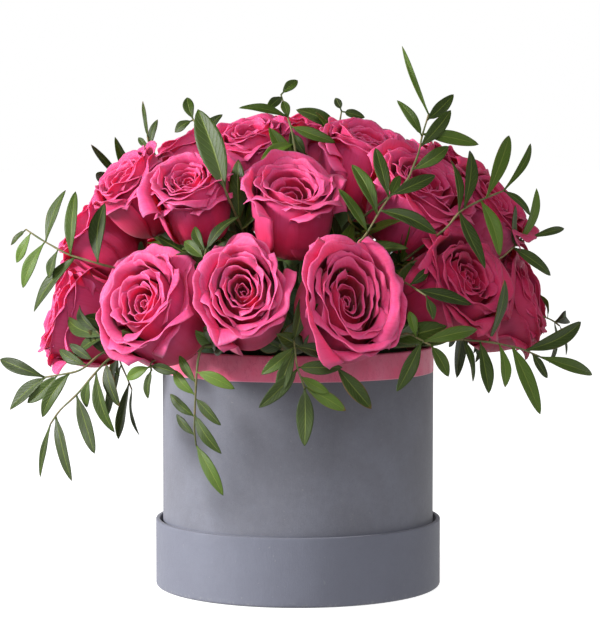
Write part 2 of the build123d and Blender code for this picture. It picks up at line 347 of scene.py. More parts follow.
linerLook = {"base": linear(58, 70, 60), "light": linear(76, 88, 76), "scratch": linear(116, 126, 116)}


def makeLinerPlastic():
    look = linerLook
    paint = Paint("linerPlastic")
    cloud = paint.noise(40, 3, 0.5)
    scratch = paint.noise(700, 3, 0.6, paint.stretched(1, 1, 0.06))
    colour = paint.mix(cloud.above(0.3, 0.7), look["base"], look["light"])
    colour = paint.mix(scratch.above(0.62, 0.74) * 0.4, colour, look["scratch"])
    rough = 0.30 + scratch.above(0.5, 0.8) * 0.25
    return paint.finish(
        colour, rough, scratch + cloud * 2, depth=0.00010, strength=0.4, fixed={"Specular IOR Level": 0.5}
    )


# pit: painted shade in the foam's pores
foamLook = {"base": linear(30, 50, 28), "light": linear(44, 68, 36), "pit": linear(14, 26, 14)}


def makeFloralFoam():
    look = foamLook
    paint = Paint("floralFoam")
    cells = paint.add("ShaderNodeTexVoronoi", {}, {"Vector": paint.place, "Scale": 1100.0})
    cloud = paint.noise(90, 4, 0.7)
    # painted shade: the foam's pores, the hollows of its relief, are darkened where shade falls in them
    poreShade = 1 - cells.above(0.15, 0.55)
    colour = paint.mix(cloud.above(0.3, 0.7), look["base"], look["light"])
    colour = paint.mix(poreShade * 0.5, colour, look["pit"])
    relief = cells * 1.2 + cloud * 2
    return paint.finish(
        colour, 0.9 - cloud * 0.25, relief, depth=0.0005, strength=0.8, fixed={"Specular IOR Level": 0.35}
    )


petalLook = {
    # deep: painted shade deep in the bloom, and also the colour of the veins
    "deep": linear(172, 6, 36),
    "body": linear(204, 34, 80),
    "pale": linear(208, 66, 118),
    "rim": linear(216, 114, 160),
    "dark": linear(128, 4, 46),
}


def makeRosePetal():
    look = petalLook
    paint = Paint("rosePetal")
    across, along, _ = paint.map("petal")
    ring, tone, _ = paint.map("ring")
    cloud = paint.noise(70, 3, 0.6)
    blotch = paint.noise(260, 3, 0.6)
    vein = paint.noise(1.0, 2.5, 0.6, paint.add(
        "ShaderNodeCombineXYZ", {}, {0: across * 46, 1: along * 3.2, 2: ring * 40 + tone * 30}
    ))
    fan = vein.above(0.46, 0.70)
    # painted shade: the petals deepen to dark red towards their feet and in the inner rings of the bloom,
    # standing in for the shade and the red light bounced between petals
    lift = along + (cloud - 0.5) * 0.30 + ring * 0.42
    colour = paint.mix(lift.above(0.22, 0.74), look["deep"], look["body"])
    colour = paint.mix(lift.above(0.62, 0.98) * (0.55 + 0.45 * tone), colour, look["pale"])
    side = (across * 2 - 1).size()
    edge = along.above(0.86, 1.0) + side.above(0.84, 1.0) * along.above(0.35, 0.8) * 0.4
    colour = paint.mix(edge * (0.08 + 0.30 * tone), colour, look["rim"])
    colour = paint.mix(fan * 0.26 * along, colour, look["deep"])
    colour = paint.mix((1 - tone.above(0.0, 0.75)) * 0.55, colour, look["dark"])
    colour = paint.mix(blotch.above(0.60, 0.78) * 0.16, colour, look["pale"])
    rough = 0.56 + blotch * 0.16 - along * 0.06
    relief = vein * 1.0 + blotch * 0.7 + cloud * 1.4
    return paint.finish(colour, rough, relief, depth=0.00035, strength=0.55, fixed={
        "Specular IOR Level": 0.20,
        "Sheen Weight": 0.06,
        "Sheen Roughness": 0.4,
        "Subsurface Weight": 0.35,
        "Subsurface Radius": (1.0, 0.18, 0.28),
        "Subsurface Scale": 0.0035,
    })


greenLook = {"base": linear(62, 88, 40), "light": linear(92, 116, 58), "streak": linear(118, 84, 60)}


def makeGreenSkin():
    look = greenLook
    paint = Paint("roseGreen")
    cloud = paint.noise(120, 4, 0.6)
    streak = paint.noise(700, 3, 0.6)
    colour = paint.mix(cloud.above(0.3, 0.7), look["base"], look["light"])
    colour = paint.mix(streak.above(0.58, 0.75) * 0.5, colour, look["streak"])
    relief = streak + cloud * 1.5
    return paint.finish(
        colour, 0.48 + streak * 0.2, relief, depth=0.0003, strength=0.6, fixed={"Specular IOR Level": 0.45}
    )


leafLook = {
    "dark": linear(30, 42, 4),
    "mid": linear(56, 76, 12),
    "fresh": linear(82, 108, 30),
    "rib": linear(116, 130, 52),
    "burnt": linear(112, 76, 40),
}


def makeLeaf():
    look = leafLook
    paint = Paint("leaf")
    across, along, _ = paint.map("leaf")
    age, tone, _ = paint.map("tint")
    cloud = paint.noise(160, 4, 0.6)
    fine = paint.noise(900, 3, 0.6)
    side = (across * 2 - 1).size()
    rib = 1 - side.above(0.02, 0.10)
    slant = (along * 62 - side * 16 + cloud * 3).wave()
    nerve = slant.above(0.72, 1.0) * (1 - side.above(0.80, 1.0))
    colour = paint.mix(tone + (cloud - 0.5) * 0.7, look["dark"], look["mid"])
    colour = paint.mix((tone.above(0.55, 1.0) + (fine - 0.5) * 0.3) * 0.75, colour, look["fresh"])
    colour = paint.mix(nerve * 0.10, colour, look["rib"])
    colour = paint.mix(rib * 0.50, colour, look["rib"])
    margin = side.above(0.86, 1.0) + along.above(0.90, 1.0)
    burn = margin * (cloud + age * 0.4).above(0.72, 0.98)
    colour = paint.mix(burn * 0.8, colour, look["burnt"])
    rough = 0.42 + fine * 0.16 + burn * 0.2
    relief = 0.5 * cloud - nerve * 0.7 - rib * 0.9 + fine * 0.2
    return paint.finish(colour, rough, relief, depth=0.00035, strength=0.6, fixed={
        "Specular IOR Level": 0.24,
        "Subsurface Weight": 0.06,
        "Subsurface Radius": (0.4, 1.0, 0.2),
        "Subsurface Scale": 0.001,
    })


twigLook = {"base": linear(74, 84, 44), "light": linear(112, 98, 62), "bark": linear(76, 56, 40)}


def makeTwig():
    look = twigLook
    paint = Paint("twig")
    cloud = paint.noise(150, 4, 0.6)
    bark = paint.noise(1300, 3, 0.7)
    colour = paint.mix(cloud.above(0.35, 0.65), look["base"], look["light"])
    colour = paint.mix(bark.above(0.55, 0.7) * 0.6, colour, look["bark"])
    return paint.finish(
        colour, 0.6 + bark * 0.2, bark + cloud, depth=0.0003, strength=0.7, fixed={"Specular IOR Level": 0.4}
    )


def makeFloorTone():
    tone = floorSettings["tone"]
    dim = tone * floorSettings["mottle"]
    paint = Paint("floorTone")
    cloud = paint.noise(3, 3, 0.5)
    colour = paint.mix(cloud, (tone, tone, tone, 1), (dim, dim, dim, 1))
    return paint.finish(colour, 0.7, None, fixed={
        "Specular IOR Level": 0.2,
        "Emission Color": (1, 1, 1, 1),
        "Emission Strength": floorSettings["glow"],
    })


def makeFloor():
    half = floorSettings["size"] / 2
    mesh = bpy.data.meshes.new("floor")
    corners = [(-half, -half, 0), (half, -half, 0), (half, half, 0), (-half, half, 0)]
    mesh.from_pydata(corners, [], [(0, 1, 2, 3)])
    floor = bpy.data.objects.new("floor", mesh)
    mesh.materials.append(makeFloorTone())
    bpy.context.scene.collection.objects.link(floor)
    floor.visible_diffuse = False  # light from below comes from the sky alone


finishes = {
    "greyPaper": makeGreyPaper(),
    "pinkPaper": makePinkPaper(),
    "chipboard": makeChipboard(),
    "linerPlastic": makeLinerPlastic(),
    "floralFoam": makeFloralFoam(),
    "rosePetal": makeRosePetal(),
    "roseGreen": makeGreenSkin(),
    "leaf": makeLeaf(),
    "twig": makeTwig(),
}
makeCamera()
makeKeyLight()
makeFillLight()
makeSky()
makeFloor()
note("camera, light, floor and finishes")


# mesh helpers; points are in millimetres

def gridFaces(rows, columns, start=0, joined=False):
    # quads of a grid of points, rows by columns; joined closes each row into a ring
    row = np.arange(rows - 1)[:, None]
    column = np.arange(columns if joined else columns - 1)[None, :]
    after = (column + 1) % columns
    here, below = row * columns, (row + 1) * columns
    corners = [here + column, here + after, below + after, below + column]
    corners = [np.broadcast_to(corner, (rows - 1, column.shape[1])) for corner in corners]
    return np.stack(corners, -1).reshape(-1, 4) + start


class Gather:
    # collects grids of points into one mesh
    def __init__(self):
        self.points = []
        self.faces = []
        self.maps = {}
        self.count = 0

    def grid(self, points, joined=False, **maps):
        rows, columns = points.shape[:2]
        self.faces.append(gridFaces(rows, columns, self.count, joined))
        self.points.append(points.reshape(-1, 3))
        for name, values in maps.items():
            self.maps.setdefault(name, []).append(values.reshape(-1, 2))
        self.count += rows * columns

    def piece(self, name, body, finish, slot, replaced, thickness=None):
        points = np.concatenate(self.points) * mm
        faces = np.concatenate(self.faces)
        mesh = bpy.data.meshes.new(name)
        mesh.from_pydata(points.tolist(), [], faces.tolist())
        for key, values in self.maps.items():
            layer = mesh.uv_layers.new(name=key)
            layer.data.foreach_set("uv", np.concatenate(values)[faces.ravel()].astype(np.float32).ravel())
        mesh.polygons.foreach_set("use_smooth", np.ones(len(faces), dtype=bool))
        mesh.materials.append(finishes[finish])
        thing = bpy.data.objects.new(name, mesh)
        bpy.context.scene.collection.objects.link(thing)
        if thickness:
            skin = thing.modifiers.new("thickness", "SOLIDIFY")
            skin.thickness = thickness * mm
            skin.offset = 0
        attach(thing, body)
        for node in replaced:
            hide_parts(node)
        return thing


def nodePoints(name):
    mesh = nodes[name].data
    points = np.empty(len(mesh.vertices) * 3)
    mesh.vertices.foreach_get("co", points)
    return points.reshape(-1, 3) / mm


# the box: papers that show are turned from their sections, with a covered box's small faults

paperSettings = {
    "around": 480,
    "step": 1.4,
    "lidFold": 1.7,
    "footTurn": 14.0,  # how far the papers are turned under the discs
    "mouthTurn": 18.0,  # how far the lid's paper is turned in over its edge
    "lidMouth": 92.0,  # the lid's inner radius, over its paper
    "wallInner": 87.2,  # the drum's inner radius, over its lining
    "lidLap": (168, 5.5),  # where a strip ends on itself: degrees from the front, half its width
    "drumLap": (176, 6),
    "liningLap": (186, 5),
    "seam": 0.16,
    "waver": 0.10,
    "puckers": 46,
    "crease": 32,  # a fold sharper than this stays crisp
    "stemsMeet": 2.0,  # all stems point this far under the rim
}

# each dent: degrees round from the front, height, half width in degrees, half height, depth
lidDents = [
    (-2, 1.2, 4.5, 1.6, -0.35), (3, 1.0, 1.2, 1.2, -0.30), (-38, 39, 7, 5, 0.22), (-52, 36, 4, 4, -0.12),
    (61, 2.0, 2.5, 1.5, -0.3), (140, 44, 6, 3, -0.2),
]
drumDents = [
    (-24, 118, 5, 9, -0.16), (22, 84, 6, 12, -0.14), (47, 120, 4, 9, 0.12), (-57, 92, 7, 10, 0.12),
]


def walk(outline, step):
    # a closed outline cut into short runs
    points = []
    for (r0, z0), (r1, z1) in zip(outline, outline[1:] + outline[:1]):
        count = max(1, math.ceil(math.hypot(r1 - r0, z1 - z0) / step))
        points += [(r0 + (r1 - r0) * k / count, z0 + (z1 - z0) * k / count) for k in range(count)]
    return np.array(points)


def arc(centre, radius, start, end, count=6):
    angles = [math.radians(start + (end - start) * k / count) for k in range(count + 1)]
    return [(centre[0] + radius * math.cos(a), centre[1] + radius * math.sin(a)) for a in angles]


def turned(outline, shift):
    # the outline turned about the upright axis; shift(turn, r, z) moves each point outwards and upwards
    profile = walk(outline, paperSettings["step"])
    turn = np.linspace(0, 2 * math.pi, paperSettings["around"], endpoint=False)[:, None]
    r = np.broadcast_to(profile[:, 0], (len(turn), len(profile)))
    z = np.broadcast_to(profile[:, 1], r.shape)
    out, up = shift(turn, r, z)
    r, z = r + out, z + up
    return np.stack([r * np.sin(turn), -r * np.cos(turn), z], -1)


def lathePiece(name, body, finish, slot, outline, shift):
    points = turned(outline, shift)
    gather = Gather()
    closed = np.concatenate([points, points[:1]])
    gather.grid(closed, joined=True)
    weld(gather.piece(name, body, finish, slot, [name]))


def weld(thing):
    # joins the first and last rings and keeps the paper's folds crisp
    work = bmesh.new()
    work.from_mesh(thing.data)
    bmesh.ops.remove_doubles(work, verts=work.verts, dist=1e-6)
    bmesh.ops.recalc_face_normals(work, faces=work.faces)
    crease = math.radians(paperSettings["crease"])
    for edge in work.edges:
        edge.smooth = not (edge.is_manifold and edge.calc_face_angle(0) > crease)
    work.to_mesh(thing.data)
    work.free()


def waver(turn, z, amount, seed):
    # low hollows and swells of paper glued on board
    rng = np.random.default_rng(seed)
    total = 0
    for count in (2, 3, 5, 8, 13):
        phase, lean = rng.uniform(0, 6.28), rng.uniform(-0.03, 0.03)
        total = total + np.sin(count * turn + phase + lean * z) / count ** 0.6
    return amount * total * 0.4


def dent(turn, z, where, height, wide, tall, depth):
    away = (np.degrees(turn) - where + 180) % 360 - 180
    return depth * np.exp(-((away / wide) ** 2) - ((z - height) / tall) ** 2)


def lap(turn, where, wide):
    # the overlap where a strip of paper ends on itself
    away = (np.degrees(turn) - where + 180) % 360 - 180
    return smooth(away, -wide - 0.8, -wide) * (1 - smooth(away, wide, wide + 0.8))


box = {name: [np.array(corner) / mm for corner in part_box(name)] for name in (
    "lid_rim_paper", "drum_paper", "lining_paper", "lid_face_paper"
)}
paper = box["lid_face_paper"][1][2] - box["lid_face_paper"][0][2]
lidRadius = box["lid_rim_paper"][1][0]
lidTop = box["lid_rim_paper"][1][2]
lidTurn = box["lid_rim_paper"][0][2]
drumRadius = box["drum_paper"][1][0]
drumTurn = box["drum_paper"][0][2]
greyTop = box["drum_paper"][1][2]
rimTop = box["lining_paper"][1][2]
liningFoot = box["lining_paper"][0][2]
footTurn = paperSettings["footTurn"]
mouthTurn = paperSettings["mouthTurn"]
wallInner = paperSettings["wallInner"]
lidMouth = paperSettings["lidMouth"]
focus = np.array([0.0, 0.0, rimTop - paperSettings["stemsMeet"]])


def outside(r, radius):  # 1 on a paper's outer face, 0 behind it
    return smooth(r, radius - 1.2, radius - 0.3)


def lidShift(turn, r, z):
    outer = outside(r, lidRadius)
    out = waver(turn, z, paperSettings["waver"], 4) * smooth(z, 2, 6)
    out = out + paperSettings["seam"] * lap(turn, *paperSettings["lidLap"])
    for values in lidDents:
        out = out + dent(turn, z, *values)
    edge = waver(turn, z * 0, 0.16, 9) * smooth(z, lidTop - 4, lidTop)
    return out * outer, edge


def drumShift(turn, r, z):
    outer = outside(r, drumRadius)
    out = waver(turn, z, paperSettings["waver"], 14)
    out = out + paperSettings["seam"] * lap(turn, *paperSettings["drumLap"])
    for values in drumDents:
        out = out + dent(turn, z, *values)
    edge = waver(turn, z * 0, 0.18, 19) * smooth(z, greyTop - 3, greyTop)
    return (out - 0.04) * outer, edge - 0.10 * smooth(z, greyTop - 3, greyTop)


def liningShift(turn, r, z):
    outer = outside(r, drumRadius)
    rng = np.random.default_rng(33)
    out = waver(turn, z, 0.16, 24) + paperSettings["seam"] * lap(turn, *paperSettings["liningLap"])
    for _ in range(paperSettings["puckers"]):  # small puckers where the paper is drawn over the rim
        out = out + dent(
            turn, z, rng.uniform(-180, 180), rng.uniform(greyTop + 1, rimTop), rng.uniform(0.5, 2.2),
            rng.uniform(1.5, 6.0), rng.uniform(-0.22, 0.30),
        )
    edge = waver(turn, z * 0, 0.22, 29) * (1 - smooth(z, greyTop + 0.3, greyTop + 4)) * outer
    top = waver(turn, z * 0, 0.12, 31) * smooth(z, rimTop - 3, rimTop)
    return (out + 0.10) * outer, edge - 0.30 * (1 - smooth(z, greyTop + 0.3, greyTop + 2)) * outer + top


def makeBox():
    fold = paperSettings["lidFold"]
    lidOutline = [
        (lidRadius - footTurn, lidTurn + paper), (lidRadius - footTurn, lidTurn),
        *arc((lidRadius - fold, lidTurn + fold), fold, -90, 0),
        *arc((lidRadius - 0.7, lidTop - 0.7), 0.7, 0, 90, 4),
        *arc((lidMouth + 0.7, lidTop - 0.7), 0.7, 90, 180, 4),
        (lidMouth, lidTop - mouthTurn), (lidMouth + paper, lidTop - mouthTurn),
        (lidMouth + paper, lidTop - paper - 0.1), (lidRadius - paper, lidTop - paper - 0.1),
        *arc((lidRadius - fold, lidTurn + fold), fold - paper, 0, -90),
    ]
    lathePiece("lid_rim_paper", "lid", "greyPaper", "grey_paper", lidOutline, lidShift)
    drumOutline = [
        (drumRadius - footTurn, drumTurn), (drumRadius - 0.5, drumTurn), (drumRadius, drumTurn + 0.5),
        (drumRadius, greyTop), (drumRadius - paper, greyTop), (drumRadius - paper, drumTurn + paper),
        (drumRadius - footTurn, drumTurn + paper),
    ]
    lathePiece("drum_paper", "drum", "greyPaper", "grey_paper", drumOutline, drumShift)
    liningOutline = [
        (drumRadius, greyTop + 0.2), *arc((drumRadius - 0.9, rimTop - 0.9), 0.9, 0, 90, 5),
        *arc((wallInner + 0.9, rimTop - 0.9), 0.9, 90, 180, 5), (wallInner, liningFoot),
        (wallInner + paper, liningFoot), (wallInner + paper, rimTop - paper - 0.2),
        (drumRadius - paper, rimTop - paper - 0.2), (drumRadius - paper, greyTop + 0.2),
    ]
    lathePiece("lining_paper", "drum", "pinkPaper", "pink_paper", liningOutline, liningShift)
    for name, finish in (
        ("lid_face_paper", "greyPaper"), ("drum_foot_paper", "greyPaper"), ("lid_board", "chipboard"),
        ("lid_rim", "chipboard"), ("drum_base_board", "chipboard"), ("drum_wall", "chipboard"),
        ("liner_tub", "linerPlastic"), ("foam_block", "floralFoam"),
    ):
        mesh = nodes[name].data
        mesh.materials.clear()
        mesh.materials.append(finishes[finish])


makeBox()
note("lid, drum, lining, tub and foam")


# roses: petals wrapped round the stem's axis, innermost first

roseSettings = {
    "petals": 24,
    "bloomTop": 1.0,  # a bloom's tip in the frame, in bloom radii from its middle
    "bloomWide": 0.93,  # its widest part, in bloom radii
    "gridAcross": 25,
    "gridAlong": 23,
    "foot": (0.09, -0.98),  # where a petal starts: out from the axis, and along it
    "sheet": 0.62,  # share of a petal below its rolled lip
    "thickness": 0.40,
    "golden": 137.5,
    "rings": [0.00, 0.12, 0.30, 0.52, 0.76, 1.00],
    "belly": [0.10, 0.26, 0.48, 0.71, 0.90, 0.98],
    "shoulder": [0.045, 0.15, 0.33, 0.55, 0.77, 0.90],
    "top": [0.60, 0.64, 0.70, 0.73, 0.66, 0.50],
    "lean": [-12, -14, -14, -9, 0, 6],
    "lipRadius": [0.03, 0.045, 0.07, 0.10, 0.13, 0.17],
    "lipTurn": [25, 50, 76, 92, 98, 96],
    "halfWidth": [170, 128, 98, 84, 78, 74],
    "drop": [0.05, 0.08, 0.11, 0.15, 0.20, 0.25],
    "round": [0.0, 0.02, 0.05, 0.09, 0.13, 0.16],  # how far a lip is narrower than its petal
    "ruffle": [0.012, 0.018, 0.030, 0.044, 0.052, 0.052],
    "tip": (0.012, 0.22),  # height and half width of the low point in a lip's middle
    "nick": (0.07, 0.09),  # greatest depth and half width of a nick in a lip
    "hangFrom": 0.72,  # outer petals past this share of the bloom may hang away from it
    "loose": 0.30,  # share of those petals that do
    "hangLean": (8, 22),
    "hangDrop": (0.05, 0.20),
    "rise": [(25, 8), (50, 9), (91, 0)],  # blooms below each elevation look up by so many degrees
}

# by rose: turn about its own axis, depth of the middle, spread of the outer petals, how light it is,
# degrees it looks up and to the right, its width and height as shares of the usual, how far it is
# drawn in towards the foam in bloom radii, and how far its heart is pressed out of round
roseLooks = {
    1: (20, 0.05, 1.00, 0.75, 6, 6, 1.00, 1.06, 0.25, 0.10),
    2: (65, 0.10, 0.95, 0.95, 12, 6, 0.98, 1.14, 0.0, 0.12),
    3: (200, 0.12, 0.98, 0.90, 9, 4, 0.92, 1.13, 0.0, 0.18),
    4: (310, 0.42, 0.98, 0.65, 10, 2, 1.04, 1.14, 0.0, 0.34),
    5: (140, 0.06, 1.00, 0.20, 8, 2, 0.98, 1.12, 0.0, 0.14),
    6: (80, 0.12, 0.98, 0.15, 6, 0, 1.00, 1.14, 0.25, 0.10),
    10: (30, 0.20, 1.04, 0.40, 8, 0, 1.04, 1.10, 0.1, 0.12),
    12: (250, 0.05, 0.98, 0.80, 4, 0, 1.00, 1.05, 0.2, 0.10),
    13: (15, 0.08, 0.98, 0.75, 4, 4, 1.02, 1.02, 0.0, 0.10),
    14: (100, 0.08, 0.94, 0.95, 13, 8, 0.94, 1.06, 0.0, 0.18),
    15: (170, 0.40, 0.96, 0.85, 10, 2, 0.98, 1.04, 0.0, 0.16),
    16: (290, 0.10, 1.04, 0.60, 4, 0, 1.02, 1.08, 0.0, 0.12),
    17: (220, 0.10, 1.04, 0.35, 4, 0, 1.02, 1.08, 0.15, 0.12),
    18: (40, 0.10, 0.98, 0.20, 4, 0, 1.00, 1.00, 0.1, 0.10),
    22: (330, 0.08, 1.04, 0.80, 0, 0, 1.05, 1.00, 0.2, 0.14),
    23: (120, 0.16, 1.00, 0.70, 0, 0, 1.05, 1.00, 0.2, 0.12),
    24: (190, 0.12, 1.00, 0.75, 0, 0, 1.00, 1.00, 0.3, 0.12),
    25: (70, 0.10, 1.00, 0.60, 0, 0, 1.00, 1.00, 0.35, 0.12),
    26: (10, 0.14, 1.00, 0.65, 0, 0, 1.02, 1.00, 0.35, 0.10),
    27: (260, 0.08, 1.00, 0.50, 0, 0, 1.04, 1.00, 0.25, 0.12),
}

# how far a bloom is nudged from its place in the frame, right, back and up
roseShifts = {
    1: (6, 0, -5), 2: (7, 0, -8), 3: (0, 0, -4), 4: (-6, 0, 0), 5: (-3, 0, 0), 6: (-3, 0, 0), 15: (2, 0, -3),
}


def roseFrame(number):
    # the way a stem points, where its foot and its bloom's middle are along it, and the bloom's radius
    points = nodePoints(f"rose_{number:02d}") - focus
    away = np.linalg.norm(points, axis=1)
    axis = unit(points[away.argmax()])
    along = points @ axis
    out = np.linalg.norm(points - along[:, None] * axis, axis=1)
    radius = out.max() / roseSettings["bloomWide"]
    return axis, along.min(), away.max() - roseSettings["bloomTop"] * radius, radius


def crossAxes(axis):
    first = unit(np.cross(axis, [0.0, 0.0, 1.0]) if abs(axis[2]) < 0.9 else np.cross(axis, [1.0, 0.0, 0.0]))
    return first, np.cross(axis, first)


# the settings that change from the heart to the outer petals
petalShares = (
    "belly", "shoulder", "top", "lean", "lipRadius", "lipTurn", "halfWidth", "drop", "round", "ruffle",
)


def petalGrid(ring, turn, cup, spread, press, rng):
    # one petal about the axis: columns run across it, rows from its foot to its lip, in bloom radii
    settings = roseSettings
    u = np.linspace(-1, 1, settings["gridAcross"])[None, :]
    v = np.linspace(0, 1, settings["gridAlong"])[:, None]
    share = {key: float(np.interp(ring, settings["rings"], settings[key])) for key in petalShares}
    belly = share["belly"] * (1 + (spread - 1) * ring)
    shoulder = share["shoulder"] * (1 + (spread - 1) * ring) * rng.uniform(0.94, 1.06)
    top = share["top"] - cup * (1 - ring) ** 1.6 + rng.uniform(-0.055, 0.055)
    hangs = ring > settings["hangFrom"] and rng.uniform(0, 1) < settings["loose"]
    lean = share["lean"] + rng.uniform(-5, 7) * (0.3 + ring) + hangs * rng.uniform(*settings["hangLean"])
    lean = math.radians(lean)
    top = top - hangs * rng.uniform(*settings["hangDrop"])
    lipTurn = math.radians(share["lipTurn"] * rng.uniform(0.75, 1.15))
    lipRadius = share["lipRadius"] * rng.uniform(0.8, 1.3)
    half = math.radians(share["halfWidth"] * rng.uniform(0.92, 1.08))
    side = np.abs(u)
    skew = rng.uniform(-0.12, 0.12)
    tipHigh, tipWide = settings["tip"]
    nickDeep, nickWide = settings["nick"]
    edge = top - share["drop"] * np.abs(u - skew) ** 3.6
    edge = edge + tipHigh * ring * np.exp(-((u - skew) / tipWide) ** 2)
    edge = edge - rng.uniform(0.0, nickDeep) * np.exp(-((u - rng.uniform(-0.7, 0.7)) / nickWide) ** 2)
    turnIn = 0.05 + 0.05 * (1 - ring)
    r3 = shoulder * (1 + turnIn * u) + 0.02 * u
    foot = settings["foot"]
    run = 0.42 * (edge + 0.75)
    p1 = (belly * 1.08, -0.90 + 0.16 * (1 - ring))
    p2r, p2a = r3 - run * math.sin(lean) * 0.9, edge - run * math.cos(lean)
    q = np.clip(v / settings["sheet"], 0, 1)
    b0, b1, b2, b3 = (1 - q) ** 3, 3 * q * (1 - q) ** 2, 3 * q * q * (1 - q), q ** 3
    r = b0 * foot[0] + b1 * p1[0] + b2 * p2r + b3 * r3
    a = b0 * foot[1] + b1 * p1[1] + b2 * p2a + b3 * edge
    bend = np.clip((v - settings["sheet"]) / (1 - settings["sheet"]), 0, 1)
    roll = lipTurn * bend * (1 - 0.12 * np.cos(u * 2.2 + rng.uniform(-0.6, 0.6))) * (0.86 + 0.22 * side)
    r = r + lipRadius * (math.cos(lean) - np.cos(lean + roll))
    a = a + lipRadius * (np.sin(lean + roll) - math.sin(lean)) * (bend > 0)
    flare = smooth(side, 0.70, 1.0) * smooth(v, 0.35, 0.85)
    r = r + flare * rng.uniform(0.02, 0.08) * (0.3 + ring)
    amount = share["ruffle"] * v ** 4
    phases = rng.uniform(0, 6.28, 4)
    fine = 0.34 * np.sin(17.0 * u + phases[3])
    r = r + amount * (np.sin(4.1 * u + phases[0]) + 0.5 * np.sin(9.7 * u + phases[1]) + fine)
    a = a + amount * 0.9 * (np.sin(5.3 * u + phases[2]) + 0.5 * np.sin(11.9 * u + phases[3]))
    opening = (0.55 + 0.45 * smooth(v, 0.0, 0.40)) * (1 - share["round"] * smooth(v, 0.62, 1.0) ** 2)
    angle = turn + half * u * opening + 0.10 * (v - 0.5) * (1 - ring)
    r = r * (1 + press * (1 - 0.8 * ring) * smooth(v, 0.2, 0.8) * np.cos(2 * angle + press * 9))
    return r * np.cos(angle), r * np.sin(angle), a


def lookUp(axis, rise, aside):
    # the way a bloom faces: a little more upwards than its stem, or aside
    elevation = math.degrees(math.asin(np.clip(axis[2], -1, 1)))
    if rise is None:
        rise = next(degrees for below, degrees in roseSettings["rise"] if elevation < below)
    up = np.array([0.0, 0.0, 1.0]) - axis[2] * axis
    right = unit(np.cross(axis, up) + 1e-9)
    right = -right if right[0] < 0 else right
    return unit(axis + math.tan(math.radians(rise)) * unit(up) + math.tan(math.radians(aside)) * right)


def makeRose(number):
    axis, foot, middle, radius = roseFrame(number)
    rng = np.random.default_rng(700 + number)
    chance = (rng.uniform(0, 360), rng.uniform(0.0, 0.3), 1.06, rng.uniform(0.3, 0.95))
    chance += (None, rng.uniform(-5, 5), 1.06, rng.uniform(1.04, 1.12), 0.0, rng.uniform(0.05, 0.2))
    roll, cup, spread, tone, rise, aside, wide, tall, drawn, press = roseLooks.get(number, chance)
    middle = middle - drawn * radius
    way = lookUp(axis, rise, aside)
    first, second = crossAxes(way)
    if second[2] < 0:
        first, second = -first, -second
    centre = focus + axis * middle - second * (tall - 1) * 0.5 * radius
    centre = centre + np.array(roseShifts.get(number, (0, 0, 0)), dtype=float)
    count = roseSettings["petals"] + int(rng.integers(-2, 3))
    petals = Gather()
    uvAcross = np.linspace(0, 1, roseSettings["gridAcross"])
    uvAlong = np.linspace(0, 1, roseSettings["gridAlong"])
    uv = np.stack(np.meshgrid(uvAcross, uvAlong), -1)
    for k in range(count):
        ring = k / (count - 1)
        turn = math.radians(roll + k * roseSettings["golden"] + rng.uniform(-22, 22))
        x, y, a = petalGrid(ring, turn, cup, spread, press, rng)
        points = centre + radius * (
            wide * x[..., None] * first + tall * y[..., None] * second + a[..., None] * way
        )
        shade = np.clip(tone + rng.uniform(-0.12, 0.12), 0, 1)
        petals.grid(points, petal=uv, ring=np.broadcast_to([ring, shade], uv.shape))
    name = f"rose_{number:02d}"
    petals.piece(f"{name}_petals", "insert", "rosePetal", "rose_petals", [name], roseSettings["thickness"])
    makeRoseStem(number, axis, foot, centre, radius, way, rng)


greenSettings = {
    "stem": 2.8,
    "hip": 0.24,  # this and the next sizes are in bloom radii
    "crown": 0.94,
    "bendFrom": 2.1,
    "sepalLength": 0.80,
    "sepalWidth": 0.17,
    "sepals": 5,
    "pull": 0.55,
    "sides": 20,
    "sepalGrid": (9, 5),
}


def tube(gather, path, radii, sides):
    # a round skin along a path, closed at both ends
    turn = np.linspace(0, 2 * math.pi, sides, endpoint=False)
    ahead = np.gradient(path, axis=0)
    side = crossAxes(unit(ahead[0]))[0]
    rings = []
    for point, way, radius in zip(path, ahead, radii):
        way = unit(way)
        side = unit(side - way * (side @ way))
        other = np.cross(way, side)
        rings.append(point + radius * (np.cos(turn)[:, None] * side + np.sin(turn)[:, None] * other))
    rings.insert(0, path[0] + 0.02 * (rings[0] - path[0]))
    rings.append(path[-1] + 0.02 * (rings[-1] - path[-1]))
    gather.grid(np.array(rings), joined=True)


